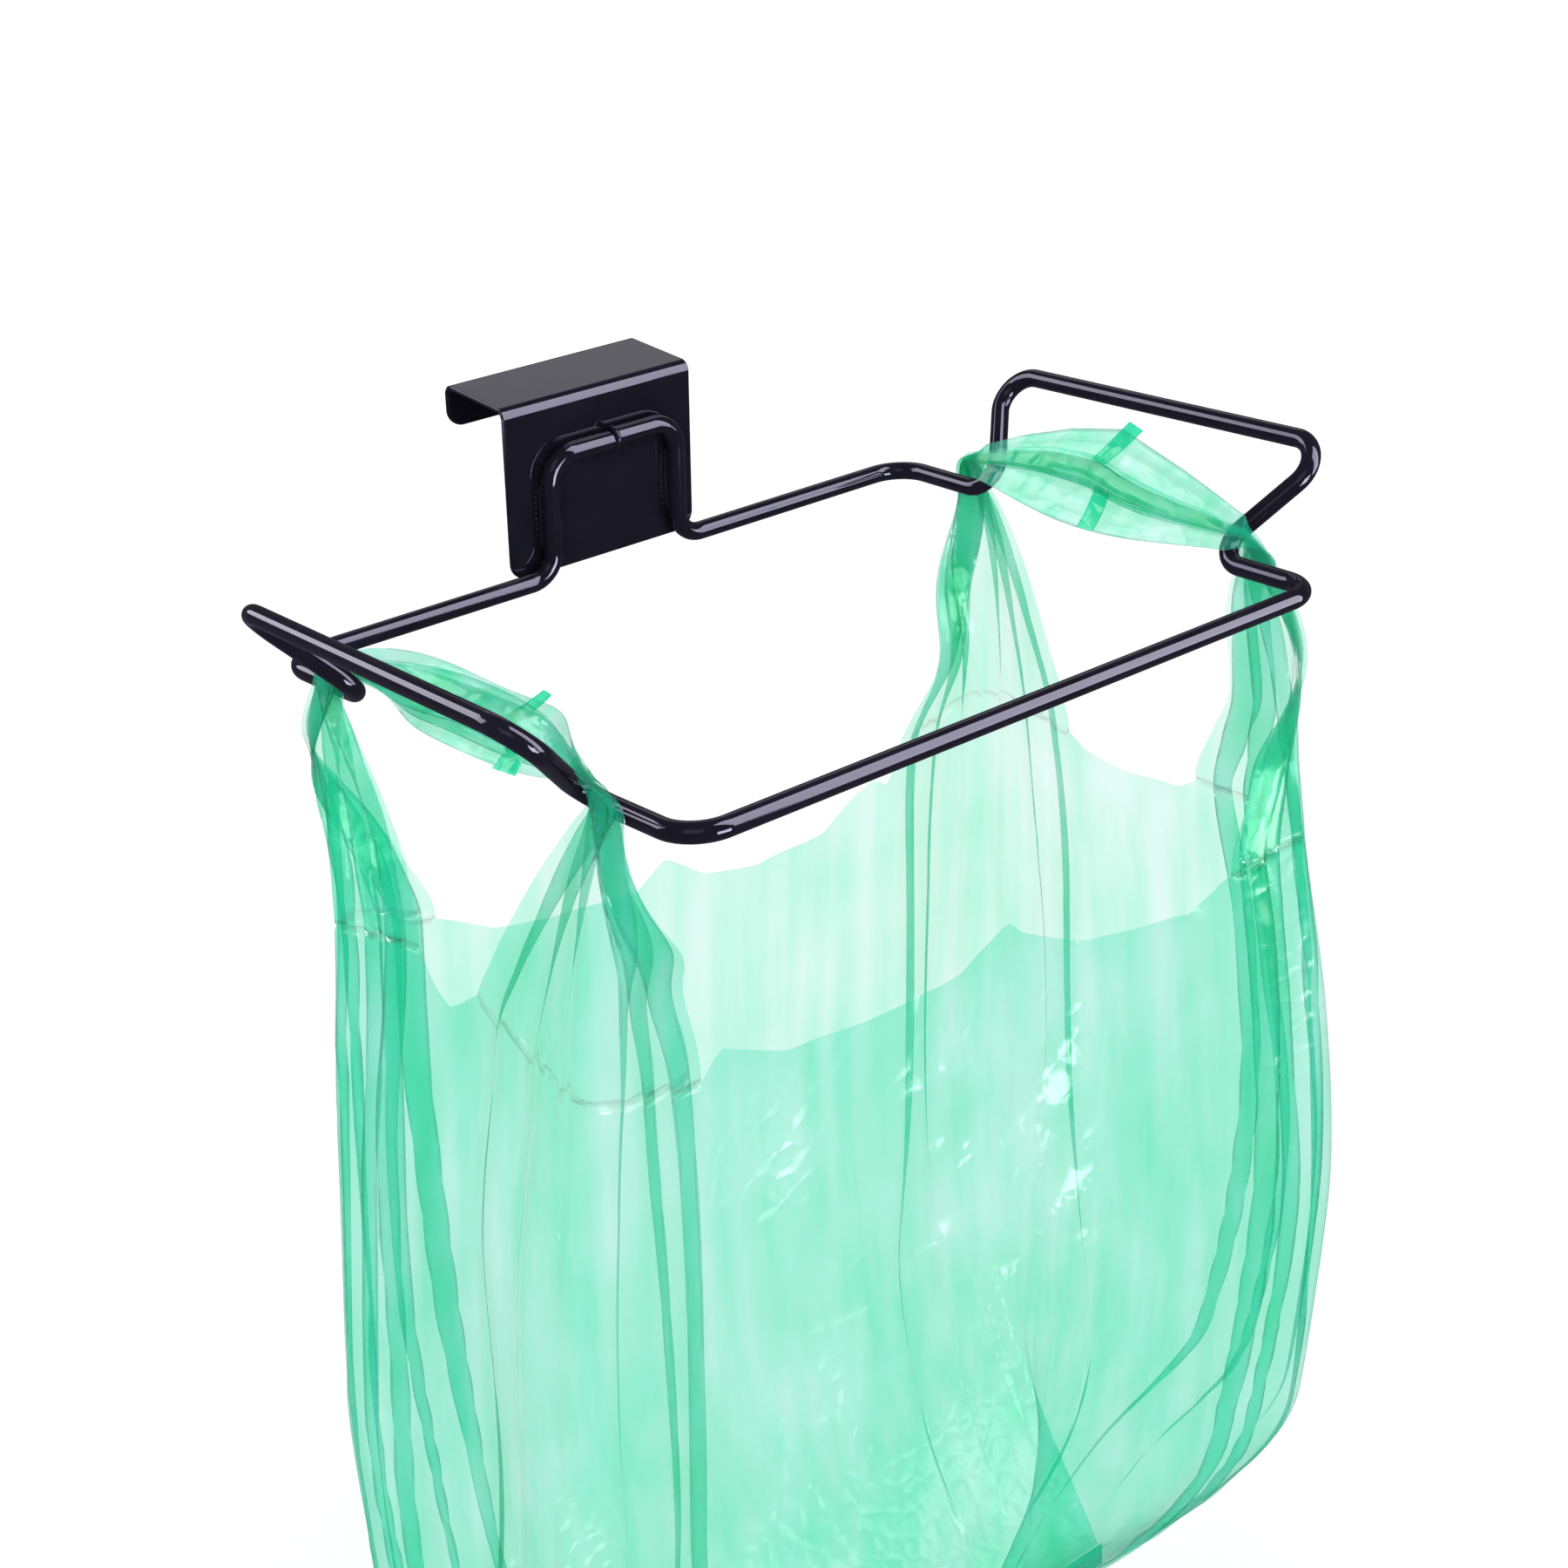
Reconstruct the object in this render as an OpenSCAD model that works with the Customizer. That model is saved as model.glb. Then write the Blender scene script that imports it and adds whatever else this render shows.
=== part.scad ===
// Over-door carrier bag holder: a bent sheet hook with a welded wire ring
// whose two splayed wings carry the handles of a film carrier bag.
// Units are millimetres. +Z is up, -Y is the front, and the origin is the
// centre of the hook's seat on the door's top edge.

/* [Door hook] */
// Thickness of the door that the hook fits over
door_gap = 25; // [15:0.5:40]
// Width of the sheet hook along the door
hook_w = 60; // [54:1:90]
// Sheet thickness
sheet_t = 1.2; // [0.8:0.1:2.5]
// Height of the front plate below the door's top edge
plate_drop = 46.5; // [42:0.5:70]
// Height of the plate's lower edge above the back rail's centre line
plate_above_rail = 0.5; // [0:0.1:2]
// Height of the rear lip below the door's top edge
lip_drop = 11; // [8:0.5:30]
// Rounding of the plate's and the lip's lower corners
corner_r = 5; // [2:0.5:7]
// Inside radius of the two folds
fold_r = 1.6; // [0.8:0.1:3]
// Sideways offset of the hook from the ring's middle
hook_shift = -2.4; // [-6:0.1:6]

/* [Wire ring] */
// Diameter of the round wire
wire_d = 5; // [3:0.5:7]
// Ring width between wire centres at the back
ring_back_w = 204; // [170:1:240]
// Ring width between wire centres at the front
ring_front_w = 194.5; // [165:0.5:230]
// Ring depth between wire centres
ring_depth = 160; // [135:1:200]
// Rise of the ring towards the front, in degrees
ring_rise = 5.9; // [0:0.1:12]
// Bend radius of the ring's four corners, on the wire centre
ring_bend_r = 10; // [8:0.5:14]

/* [Hanger loop] */
// Distance between the hanger's two legs, on the wire centres
hanger_w = 41; // [34:0.5:46]
// Height of the hanger's top bar above the back rail
hanger_h = 33.5; // [28:0.5:38]
// Bend radius of the hanger, on the wire centre
hanger_bend_r = 7.5; // [6:0.5:9]
// Step between the two wire ends where they meet at the butt weld
butt_step = 0.7; // [0:0.1:1]

/* [Wings] */
// Distance of the wings' front feet from the back rail
foot_front = 123; // [112:1:128]
// Distance of the wings' rear feet from the back rail
foot_rear = 41.5; // [34:0.5:60]
// How far the wing bars stand out from the ring's sides
wing_out = 24.7; // [18:0.1:35]
// How far the wing bars stand above the ring
wing_rise = 26.8; // [20:0.1:40]
// How far each wing bar runs past its feet, to the front and the rear
wing_splay = 20.7; // [12:0.1:26]
// Bend radius at the ends of the wing bars, on the wire centre
wing_bend_r = 8; // [6:0.5:9]
// Bend radius at the wings' feet, on the wire centre
foot_bend_r = 6.5; // [6:0.5:7.5]

/* [Film bag] */
// Face width of the bag, laid flat
bag_face_w = 260; // [230:1:300]
// Depth of the bag at its mouth, below the wings
bag_mouth_d = 106; // [90:1:115]
// Width of the bag where it hangs fullest
bag_full_w = 244; // [225:1:280]
// Depth of the bag where it hangs fullest
bag_full_d = 118; // [100:1:130]
// Distance from the back rail down to where the bag hangs fullest
bag_full_drop = 235; // [180:1:260]
// Depth of the flattened bag at its bottom seal
bag_foot_d = 14; // [10:1:40]
// Distance from the back rail down to the bag's bottom seal
bag_drop = 378; // [300:1:450]
// Distance from the back rail down to the front opening's edge
front_edge_drop = 63; // [55:1:75]
// Distance from the back rail down to the rear opening's edge
rear_edge_drop = 88; // [76:1:105]
// How deep each opening dips between the straps
mouth_dip = 12; // [6:1:20]
// Thickness of the solid walls that stand for the film
film_t = 1.2; // [1:0.1:3]
// Width of the gathered straps where they cross the ring
strap_w = 8; // [6:0.5:9]
// Thickness of the gathered straps and the handle bands
strap_t = 3.4; // [2:0.1:5]
// Gap kept between the film and the wire
film_gap = 0.4; // [0.3:0.1:1]
// Height of the handle bands between the wings' feet
band_h = 9; // [6:0.5:12]
// Width of the heat seal across each handle band
handle_seal_w = 5.5; // [4:0.5:8]
// Height of the heat seal along the bag's bottom
bottom_seal_h = 8; // [5:0.5:12]

/* [Hidden] */

$fn = 64;
coating = [0.10, 0.09, 0.12];
film = [0.52, 0.74, 0.62];
film_bunched = [0.30, 0.58, 0.42];

// Places worked out from the sizes above
wire_r = wire_d / 2;
rail_y = -(door_gap / 2 + sheet_t + wire_r);
rail_z = -(plate_drop + plate_above_rail);
front_face_y = -(door_gap / 2 + sheet_t);

// Wire corners of the right-hand half, in the ring's own plane: x across,
// y forward as a negative, z square to the ring, from the back rail's middle
back_corner = [ring_back_w / 2, 0, 0];
front_corner = [ring_front_w / 2, -ring_depth, 0];
rear_foot = [side_x(-foot_rear), -foot_rear, 0];
front_foot = [side_x(-foot_front), -foot_front, 0];
bar_x = (rear_foot[0] + front_foot[0]) / 2 + wing_out;
bar_rear = [bar_x, -foot_rear + wing_splay, wing_rise];
bar_front = [bar_x, -foot_front - wing_splay, wing_rise];
rail_middle = [0, -ring_depth, 0];

// Half width of the ring at a given place along its depth
function side_x(y) = ring_back_w / 2 + (ring_back_w - ring_front_w) / 2 * y / ring_depth;
function unit(v) = v / norm(v);
// How far a bend starts before its corner
function setback(a, p, b, r) =
    let (turn = acos(unit(p - a) * unit(b - p))) r * tan(turn / 2);
// Where a bend at p, between a and b, meets the straight wire towards a
function bend_start(a, p, b, r) = p + unit(a - p) * setback(a, p, b, r);
function bend_end(a, p, b, r) = p + unit(b - p) * setback(a, p, b, r);

// Straight round wire from p to q
module wire(p, q) {
    d = q - p;
    translate(p)
        rotate([0, acos(d[2] / norm(d)), atan2(d[1], d[0])])
            cylinder(h = norm(d), r = wire_r);
}

// Round wire bent at corner p, coming from a and leaving towards b, with a
// straight run of the wire before the bend
module bent_wire(a, p, b, r, run = 0) {
    start = bend_start(a, p, b, r);
    along = unit(p - a);
    turn = acos(along * unit(b - p));
    inward = unit(unit(b - p) - along * cos(turn));
    centre = start + inward * r;
    out = -inward;
    axis = cross(out, along);
    multmatrix([[out[0], along[0], axis[0], centre[0]],
                [out[1], along[1], axis[1], centre[1]],
                [out[2], along[2], axis[2], centre[2]],
                [0, 0, 0, 1]]) {
        rotate_extrude(angle = turn)
            translate([r, 0])
                circle(r = wire_r);
        if (run > 0)
            translate([r, 0, 0])
                rotate([90, 0, 0])
                    cylinder(h = run, r = wire_r);
    }
}

// Places its children in the ring's tilted plane
module on_ring() {
    translate([0, rail_y, rail_z])
        rotate([-ring_rise, 0, 0])
            children();
}

// Places its children upright, from the back rail's middle
module on_plate() {
    translate([0, rail_y, rail_z])
        children();
}

// Draws its children on the right (side 1) or mirrored to the left (side -1)
module on_side(side) {
    if (side > 0) children();
    else mirror([1, 0, 0]) children();
}

// ---- Door hook ----

// Folded section of the hook, drawn with y across and z up
module hook_section() {
    fold_out = fold_r + sheet_t;
    depth = door_gap + 2 * sheet_t;
    difference() {
        translate([-depth / 2, -plate_drop]) {
            square([depth, plate_drop + sheet_t - fold_out]);
            translate([fold_out, 0])
                square([depth - 2 * fold_out, plate_drop + sheet_t]);
            for (y = [fold_out, depth - fold_out])
                translate([y, plate_drop + sheet_t - fold_out])
                    circle(r = fold_out);
        }
        translate([-door_gap / 2, -plate_drop - 1])
            square([door_gap, plate_drop + 1 - fold_r]);
        translate([-door_gap / 2 + fold_r, -fold_r - 1])
            square([door_gap - 2 * fold_r, fold_r + 1]);
        for (y = [-1, 1])
            translate([y * (door_gap / 2 - fold_r), -fold_r])
                circle(r = fold_r);
        translate([0, -plate_drop - 1])
            square([depth, plate_drop + 1 - lip_drop]);
    }
}

// Waste outside a rounded lower corner at x, with the sheet from y to y + sheet_t
module corner_waste(side, y, z) {
    translate([hook_shift + side * hook_w / 2, y, z])
        difference() {
            translate([-corner_r, -1, -corner_r])
                cube([2 * corner_r, sheet_t + 2, 2 * corner_r]);
            translate([-side * corner_r, -2, corner_r])
                rotate([-90, 0, 0])
                    cylinder(h = sheet_t + 4, r = corner_r);
            translate([-side * corner_r - (side > 0 ? 2 * corner_r : 0), -2, -2 * corner_r])
                cube([2 * corner_r, sheet_t + 4, 4 * corner_r]);
            translate([-2 * corner_r, -2, corner_r])
                cube([4 * corner_r, sheet_t + 4, 2 * corner_r]);
        }
}

module hook_plate() {
    color(coating)
        difference() {
            translate([hook_shift - hook_w / 2, 0, 0])
                rotate([90, 0, 90])
                    linear_extrude(hook_w)
                        hook_section();
            for (side = [-1, 1]) {
                corner_waste(side, front_face_y, -plate_drop);
                corner_waste(side, door_gap / 2, -lip_drop);
            }
        }
}

// ---- Hanger loop, welded to the plate ----

module hanger_half(side, step) {
    top = hanger_h + step;
    middle = [0, 0, top];
    shoulder = [hanger_w / 2, 0, top];
    ankle = [hanger_w / 2, 0, 0];
    color(coating)
        on_side(side) on_plate() {
            bent_wire(middle, shoulder, ankle, hanger_bend_r, hanger_w / 2 - hanger_bend_r);
            bent_wire(shoulder, ankle, back_corner, hanger_bend_r, top - 2 * hanger_bend_r);
        }
}

module hanger_left() { hanger_half(-1, 0); }
module hanger_right() { hanger_half(1, butt_step); }

// Bead around the place where the two wire ends meet
module hanger_butt_weld() {
    bead_r = 0.8;
    reach = 2 * wire_d;
    color(coating)
        difference() {
            on_plate()
                translate([0, 0, hanger_h + butt_step / 2])
                    rotate([0, 90, 0])
                        rotate_extrude()
                            translate([wire_r, 0])
                                circle(r = bead_r);
            translate([-reach, front_face_y, -plate_drop])
                cube([2 * reach, reach, plate_drop]);
            on_plate() {
                translate([-reach, 0, hanger_h])
                    rotate([0, 90, 0])
                        cylinder(h = reach, r = wire_r);
                translate([0, 0, hanger_h + butt_step])
                    rotate([0, 90, 0])
                        cylinder(h = reach, r = wire_r);
            }
        }
}

// Two fillets of weld, one each side of a hanger leg, against the plate
module plate_weld(side) {
    bead_len = 18;
    bead_reach = 2.3;
    bead_depth = 1.3;
    split = 0.5;
    color(coating)
        on_side(side) on_plate()
            for (edge = [-1, 1])
                difference() {
                    translate([hanger_w / 2, wire_r, hanger_h / 2 - bead_len / 2])
                        linear_extrude(bead_len)
                            polygon([[edge * split, 0], [edge * bead_reach, 0],
                                     [edge * bead_reach, -bead_depth * 0.3],
                                     [edge * (bead_reach - 0.5), -bead_depth],
                                     [edge * split, -bead_depth]]);
                    translate([hanger_w / 2, 0, 0])
                        cylinder(h = hanger_h, r = wire_r);
                }
}

module weld_left() { plate_weld(-1); }
module weld_right() { plate_weld(1); }

// ---- Wire ring ----

module back_rail(side) {
    ankle = [hanger_w / 2, 0, 0];
    color(coating)
        on_side(side) on_ring()
            wire(ankle + [hanger_bend_r, 0, 0],
                 bend_start(ankle, back_corner, rear_foot, ring_bend_r));
}

module back_rail_left() { back_rail(-1); }
module back_rail_right() { back_rail(1); }

module rear_corner(side) {
    rail = [0, 0, 0];
    color(coating)
        on_side(side) on_ring()
            bent_wire(rear_foot, back_corner, rail, ring_bend_r,
                      norm(bend_end(rail, back_corner, rear_foot, ring_bend_r)
                           - bend_start(back_corner, rear_foot, bar_rear, foot_bend_r)));
}

module rear_corner_left() { rear_corner(-1); }
module rear_corner_right() { rear_corner(1); }

module front_side_corner(side) {
    color(coating)
        on_side(side) on_ring()
            bent_wire(front_foot, front_corner, rail_middle, ring_bend_r,
                      norm(bend_start(front_foot, front_corner, rail_middle, ring_bend_r)
                           - bend_end(bar_front, front_foot, front_corner, foot_bend_r)));
}

module front_corner_left() { front_side_corner(-1); }
module front_corner_right() { front_side_corner(1); }

module front_rail() {
    end = bend_end(front_foot, front_corner, rail_middle, ring_bend_r);
    color(coating)
        on_ring()
            wire([-end[0], end[1], end[2]], end);
}

// ---- Wings ----

// Sharp bend where the ring's side turns up into a wing
module wing_foot(side, leg_top, foot, corner) {
    color(coating)
        on_side(side) on_ring()
            bent_wire(leg_top, foot, corner, foot_bend_r);
}

module wing_foot_rear_left() { wing_foot(-1, bar_rear, rear_foot, back_corner); }
module wing_foot_rear_right() { wing_foot(1, bar_rear, rear_foot, back_corner); }
module wing_foot_front_left() { wing_foot(-1, bar_front, front_foot, front_corner); }
module wing_foot_front_right() { wing_foot(1, bar_front, front_foot, front_corner); }

// Sloping leg of a wing, with the bend at its top
module wing_leg(side, corner, foot, top, bar_end) {
    color(coating)
        on_side(side) on_ring()
            bent_wire(foot, top, bar_end, wing_bend_r,
                      norm(bend_start(foot, top, bar_end, wing_bend_r)
                           - bend_end(corner, foot, top, foot_bend_r)));
}

module wing_leg_rear_left() { wing_leg(-1, back_corner, rear_foot, bar_rear, bar_front); }
module wing_leg_rear_right() { wing_leg(1, back_corner, rear_foot, bar_rear, bar_front); }
module wing_leg_front_left() { wing_leg(-1, front_corner, front_foot, bar_front, bar_rear); }
module wing_leg_front_right() { wing_leg(1, front_corner, front_foot, bar_front, bar_rear); }

module wing_bar(side) {
    color(coating)
        on_side(side) on_ring()
            wire(bend_end(rear_foot, bar_rear, bar_front, wing_bend_r),
                 bend_start(bar_rear, bar_front, front_foot, wing_bend_r));
}

module wing_bar_left() { wing_bar(-1); }
module wing_bar_right() { wing_bar(1); }

// ---- Film bag, as plain thin solids ----

// Where the straps cross the ring's sides, measured along the ring's depth:
// just outside each foot's bend
front_strap_y = bend_end(bar_front, front_foot, front_corner, foot_bend_r)[1] + 1 - strap_w / 2;
rear_strap_y = bend_start(back_corner, rear_foot, bar_rear, foot_bend_r)[1] - 1 + strap_w / 2;
outer_gap = wire_r + film_gap;

bag_mid_y = rail_y + cos(ring_rise) * (front_strap_y + rear_strap_y) / 2;
bag_foot_z = rail_z - bag_drop;
front_foot_z = rail_z - front_edge_drop + mouth_dip;
rear_foot_z = rail_z - rear_edge_drop + mouth_dip;
mouth_half_w = side_x(rear_strap_y) + outer_gap + strap_t;

bag_full_z = rail_z - bag_full_drop;

// Half width and half depth of the hanging bag at height z
function bag_half_w(z) =
    lookup(z, [[bag_foot_z, bag_face_w / 2], [bag_full_z, bag_full_w / 2],
               [front_foot_z, mouth_half_w]]);
function bag_half_d(z) =
    lookup(z, [[bag_foot_z, bag_foot_d / 2], [bag_full_z, bag_full_d / 2],
               [front_foot_z, bag_mouth_d / 2]]);
// A corner of the bag at height z, with the film's thickness taken off inside
function bag_corner(side, end, z, inset) =
    [side * (bag_half_w(z) - inset), bag_mid_y + end * (bag_half_d(z) - inset), z];

// One wall between two corner lines of the bag, flat above and below its
// fullest height, and mitred to its neighbours
module bag_wall(side_a, end_a, top_a, side_b, end_b, top_b) {
    line_a = [bag_foot_z, bag_full_z, top_a];
    line_b = [bag_foot_z, bag_full_z, top_b];
    function layer(inset) =
        concat([for (z = line_a) bag_corner(side_a, end_a, z, inset)],
               [for (z = line_b) bag_corner(side_b, end_b, z, inset)]);
    polyhedron(points = concat(layer(0), layer(film_t)),
               faces = [[0, 1, 4, 3], [1, 2, 5, 4], [6, 9, 10, 7], [7, 10, 11, 8],
                        [0, 6, 7, 1], [1, 7, 8, 2], [3, 4, 10, 9], [4, 5, 11, 10],
                        [2, 8, 11, 5], [0, 3, 9, 6]]);
}

// Waste above a panel's dipped edge, an arc from strap to strap
module mouth_waste(end, foot_z) {
    half = mouth_half_w - strap_w;
    arc_r = (half * half + mouth_dip * mouth_dip) / (2 * mouth_dip);
    translate([0, bag_mid_y + end * bag_mouth_d / 2, foot_z - mouth_dip + arc_r])
        rotate([90, 0, 0])
            cylinder(h = bag_mouth_d / 2, r = arc_r, center = true, $fn = 180);
}

module bag_front_panel() {
    color(film)
        difference() {
            bag_wall(-1, -1, front_foot_z, 1, -1, front_foot_z);
            mouth_waste(-1, front_foot_z);
        }
}

module bag_back_panel() {
    color(film)
        difference() {
            bag_wall(1, 1, rear_foot_z, -1, 1, rear_foot_z);
            mouth_waste(1, rear_foot_z);
        }
}

module bag_gusset_left() {
    color(film) bag_wall(-1, 1, rear_foot_z, -1, -1, front_foot_z);
}

module bag_gusset_right() {
    color(film) bag_wall(1, -1, front_foot_z, 1, 1, rear_foot_z);
}

module bag_floor_fold() {
    color(film)
        translate([-bag_face_w / 2, bag_mid_y - bag_foot_d / 2, bag_foot_z - film_t])
            cube([bag_face_w, bag_foot_d, film_t]);
}

module bag_bottom_seal() {
    color(film_bunched)
        translate([-bag_face_w / 2, bag_mid_y - film_t / 2, bag_foot_z - film_t - bottom_seal_h])
            cube([bag_face_w, film_t, bottom_seal_h]);
}

// Inner face of a handle band, clear of the wire at the front foot
band_x = side_x(front_strap_y) - outer_gap - strap_t;
bridge_z = wire_r + film_gap;

// Gathered handle film: along the inside of the wing's feet, then out over the
// ring's side at both ends
module handle_band(side) {
    color(film_bunched)
        on_side(side) on_ring() {
            translate([band_x, front_strap_y - strap_w / 2, bridge_z + strap_t - band_h])
                cube([strap_t, rear_strap_y - front_strap_y + strap_w, band_h]);
            for (y = [front_strap_y, rear_strap_y])
                translate([band_x, y - strap_w / 2, bridge_z])
                    cube([side_x(y) + outer_gap + strap_t - band_x, strap_w, strap_t]);
        }
}

module handle_band_left() { handle_band(-1); }
module handle_band_right() { handle_band(1); }

// Heat seal that closes the top of each handle
module handle_seal(side) {
    seal_t = 0.8;
    color(film_bunched)
        on_side(side) on_ring()
            translate([band_x - seal_t,
                       (front_strap_y + rear_strap_y - handle_seal_w) / 2,
                       bridge_z + strap_t - band_h])
                cube([seal_t, handle_seal_w, band_h]);
}

module handle_seal_left() { handle_seal(-1); }
module handle_seal_right() { handle_seal(1); }

// Gathered strap from the ring's side down to its corner of the bag, trimmed
// where the gusset's edge rises beside it
module strap(side, y, end, foot_z) {
    slab = 0.4;
    corner = bag_corner(1, end, foot_z, 0);
    color(film_bunched)
        on_side(side)
            difference() {
                hull() {
                    on_ring()
                        translate([side_x(y) + outer_gap, y - strap_w / 2, bridge_z - slab])
                            cube([strap_t, strap_w, slab]);
                    translate([corner[0] - strap_t, corner[1] - (end > 0 ? strap_w : 0), foot_z])
                        cube([strap_t, strap_w, slab]);
                }
                bag_wall(1, -1, front_foot_z, 1, 1, rear_foot_z);
            }
}

module strap_front_left() { strap(-1, front_strap_y, -1, front_foot_z); }
module strap_front_right() { strap(1, front_strap_y, -1, front_foot_z); }
module strap_rear_left() { strap(-1, rear_strap_y, 1, rear_foot_z); }
module strap_rear_right() { strap(1, rear_strap_y, 1, rear_foot_z); }

hook_plate();
hanger_left();
hanger_right();
hanger_butt_weld();
weld_left();
weld_right();
back_rail_left();
back_rail_right();
rear_corner_left();
rear_corner_right();
wing_foot_rear_left();
wing_foot_rear_right();
wing_leg_rear_left();
wing_leg_rear_right();
wing_bar_left();
wing_bar_right();
wing_leg_front_left();
wing_leg_front_right();
wing_foot_front_left();
wing_foot_front_right();
front_corner_left();
front_corner_right();
front_rail();
bag_front_panel();
bag_back_panel();
bag_gusset_left();
bag_gusset_right();
bag_floor_fold();
bag_bottom_seal();
handle_band_left();
handle_band_right();
handle_seal_left();
handle_seal_right();
strap_front_left();
strap_front_right();
strap_rear_left();
strap_rear_right();
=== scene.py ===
"""Looks of an over-door carrier bag holder: coated wire, a folded hook and a film bag."""

import math

import bmesh
import bpy
import numpy as np
from bpy.props import FloatProperty, FloatVectorProperty, PointerProperty
from mathutils import Matrix, Vector


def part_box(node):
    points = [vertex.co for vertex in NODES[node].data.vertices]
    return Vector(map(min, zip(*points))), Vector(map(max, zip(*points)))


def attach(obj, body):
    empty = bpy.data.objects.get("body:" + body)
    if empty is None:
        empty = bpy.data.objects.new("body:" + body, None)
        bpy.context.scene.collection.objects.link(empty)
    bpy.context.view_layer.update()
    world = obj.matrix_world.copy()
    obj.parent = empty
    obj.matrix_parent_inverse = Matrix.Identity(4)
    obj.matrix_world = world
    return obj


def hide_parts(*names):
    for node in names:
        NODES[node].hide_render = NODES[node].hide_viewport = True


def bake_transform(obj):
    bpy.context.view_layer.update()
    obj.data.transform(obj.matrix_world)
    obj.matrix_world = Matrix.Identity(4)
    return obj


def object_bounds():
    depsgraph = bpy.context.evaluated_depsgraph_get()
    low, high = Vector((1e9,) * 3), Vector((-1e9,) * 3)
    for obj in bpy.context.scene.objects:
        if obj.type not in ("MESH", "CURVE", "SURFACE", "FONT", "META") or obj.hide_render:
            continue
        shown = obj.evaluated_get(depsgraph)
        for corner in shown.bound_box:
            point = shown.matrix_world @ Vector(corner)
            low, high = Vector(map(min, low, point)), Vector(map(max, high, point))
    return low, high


bl_info = {
    "name": "Over-door carrier bag holder",
    "version": (1, 0, 0),
    "blender": (4, 5, 0),
    "location": "3D Viewport > Sidebar > Bag holder",
    "description": "Coated wire bag holder with a film carrier bag hung on its wings",
    "category": "Object",
}

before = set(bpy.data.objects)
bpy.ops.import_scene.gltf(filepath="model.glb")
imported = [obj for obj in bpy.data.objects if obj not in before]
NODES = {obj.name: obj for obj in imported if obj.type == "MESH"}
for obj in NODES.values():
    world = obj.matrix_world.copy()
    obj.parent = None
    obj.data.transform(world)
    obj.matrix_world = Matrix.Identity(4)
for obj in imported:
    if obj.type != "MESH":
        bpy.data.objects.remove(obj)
CAD_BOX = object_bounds()

MM = 0.001
PART_CENTRE = Vector((-0.00288, -0.09, -0.0853))  # where the camera and the lights aim

# ---- Real sizes, in millimetres, in the part's frame ----

RAIL_Y, RAIL_Z = -16.2, -47.0  # the back rail's centre, where the ring starts
RING_RISE = math.radians(5.9)
RING_HALF_BACK, RING_NARROWING, RING_DEPTH = 102.0, 4.75, 160.0
WING_OUT, WING_UP = 24.7, 26.8

FILM_ROUND = 780.0  # film round the bag: two faces of 260 and two gussets of 130
STRAP_HALF = 48.0  # half the flat width of a strap, each side of the bag's corner
CORNERS = {"LF": 0.0, "RF": 260.0, "RR": 390.0, "LR": 650.0}
FOOT_DROP, FOOT_Y = 426.0, -97.0  # the bag's foot, below the seat and along the depth

# Corner creases of the hanging bag: drop below the seat, then x and y
CREASES = {
    "LF": ((33, -102.8, -152.5), (60, -106, -153), (105, -110, -153), (160, -116, -156),
           (230, -120, -158), (300, -123, -154), (360, -126, -134), (426, -129.6, -98)),
    "RF": ((33, 102.8, -152.5), (60, 110, -160), (105, 117, -168), (160, 124, -174),
           (230, 129, -180), (300, 131, -177), (360, 130, -150), (426, 129.6, -98)),
    "RR": ((44, 106.0, -43), (60, 108.5, -43), (105, 112, -42), (160, 115, -40),
           (230, 119, -39), (300, 122, -43), (360, 126, -60), (426, 129.6, -96)),
    "LR": ((44, -106.0, -43), (60, -110, -43), (105, -114, -43), (160, -118, -43),
           (230, -121, -43), (300, -123, -45), (360, -126, -60), (426, -129.6, -96)),
}
# How far each half strap spreads from its corner: drop, then spread on the face side
FACE_SPREAD = {
    "LF": ((33, 6.5), (50, 13), (75, 21), (109, 30), (150, 33), (230, 36), (330, 44), (426, 48)),
    "RF": ((33, 6.5), (60, 13), (85, 21), (112, 33), (150, 34), (230, 36), (330, 44), (426, 48)),
    "RR": ((44, 6.5), (70, 11), (100, 17), (123, 33), (160, 35), (230, 37), (330, 44), (426, 48)),
    "LR": ((44, 6.5), (70, 14), (95, 24), (116, 34), (160, 36), (230, 38), (330, 44), (426, 48)),
}
# The same on the gusset side
GUSSET_SPREAD = {
    "LF": ((33, 6.5), (40, 12), (59, 25), (81, 37), (104, 45), (150, 43), (230, 40), (426, 48)),
    "RF": ((33, 6.5), (40, 13), (55, 22), (78, 27), (92, 35), (111, 44), (150, 43), (230, 43),
           (426, 48)),
    "RR": ((44, 6.5), (52, 12), (86, 27), (115, 36), (150, 40), (230, 43), (426, 48)),
    "LR": ((44, 6.5), (49, 15), (60, 31), (74, 41), (100, 44), (230, 41), (426, 48)),
}
# How far the gussets' middle fold is tucked in, against the drop
GUSSET_TUCK = ((118, 0), (160, -4), (250, -5), (310, 0), (350, 18), (385, 42), (426, 63))
# The cut edge of the mouth: place round the film, then drop
MOUTH_EDGE = ((0, 106), (30, 107), (48, 109), (54, 102), (58, 104), (72, 110), (107, 111),
              (124, 109), (138, 100), (142, 104), (161, 113), (197, 118), (209, 112),
              (212, 112), (232, 109), (260, 108), (290, 110), (308, 111), (313, 116),
              (325, 118), (338, 117), (342, 114), (365, 112), (390, 112), (420, 118),
              (438, 124), (442, 133), (448, 129), (452, 131), (467, 140), (491, 142),
              (512, 137), (526, 127), (529, 129), (536, 134), (565, 131), (585, 126),
              (602, 117), (625, 110), (650, 104), (680, 96), (698, 93), (710, 101),
              (716, 104), (723, 101), (732, 95), (755, 100), (780, 106))
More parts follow.
